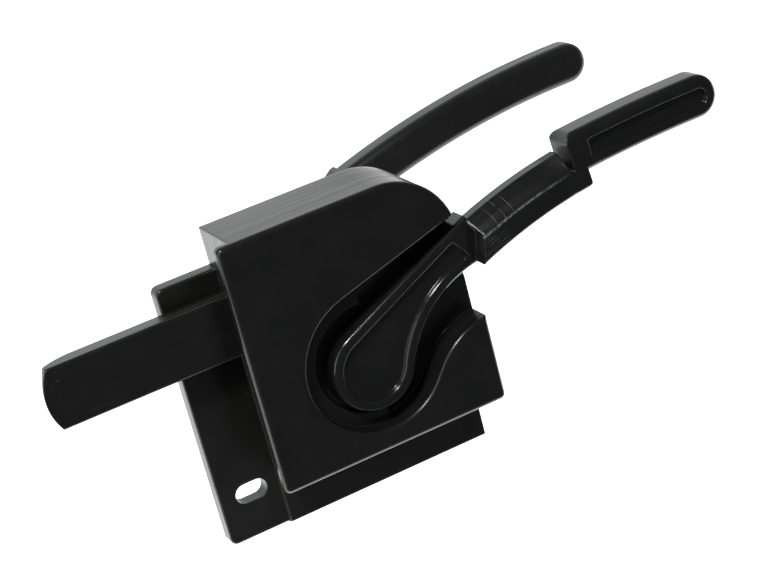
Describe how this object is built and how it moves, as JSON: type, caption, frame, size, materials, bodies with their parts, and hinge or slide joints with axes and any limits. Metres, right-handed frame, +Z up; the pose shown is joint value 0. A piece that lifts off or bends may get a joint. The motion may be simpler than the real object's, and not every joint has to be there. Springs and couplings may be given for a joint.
{
  "type": "surface lever latch",
  "caption": "Surface door latch: a sliding sprung bolt in a moulded housing, drawn back by a front lever and a rear lever on one spindle.",
  "frame": {"origin": "spindle axis at the base plate's mounting face", "axes": "+X away from the bolt's tip, +Y into the door, +Z up"},
  "size_m": [0.2982, 0.1141, 0.1292],
  "materials": {
    "black_plastic": "satin moulded",
    "plate_plastic": "satin moulded",
    "grey_plastic": "moulded",
    "bush_plastic": "natural acetal",
    "zinc_steel": "zinc plated",
    "spring_steel": "drawn wire"
  },
  "bodies": {
    "housing": {"base_plate": "plate_plastic", "front_cover": "black_plastic", "cover_screws": "zinc_steel", "bolt_rails": "grey_plastic", "rail_screws": "zinc_steel", "front_bush": "bush_plastic", "rear_bush": "bush_plastic", "bolt_spring": "spring_steel", "spring_seat": "grey_plastic", "spring_rod": "zinc_steel", "seat_screws": "zinc_steel", "rear_rose": "black_plastic", "rose_bush": "bush_plastic", "rose_screws": "zinc_steel"},
    "lever": {"front_lever": "black_plastic", "spindle": "zinc_steel", "actuating_arm": "zinc_steel", "arm_washer": "zinc_steel", "rear_lever": "black_plastic", "end_washer": "zinc_steel", "end_screw": "zinc_steel"},
    "bolt": {"bolt": "black_plastic"}
  },
  "joints": [
    {"name": "lever_turn", "type": "hinge", "parent": "housing", "child": "lever", "pos_m": [0, 0, 0], "axis": [0, 1, 0], "range_deg": [0, 22]},
    {"name": "bolt_slide", "type": "slide", "parent": "housing", "child": "bolt", "axis": [1, 0, 0], "range_m": [0, 0.0132], "stiffness_N_per_m": 800, "springref_m": -0.01, "deforming": ["bolt_spring"]}
  ],
  "couplings": [
    {"joint": "bolt_slide", "follows": "lever_turn", "m_per_rad": 0.03419}
  ]
}
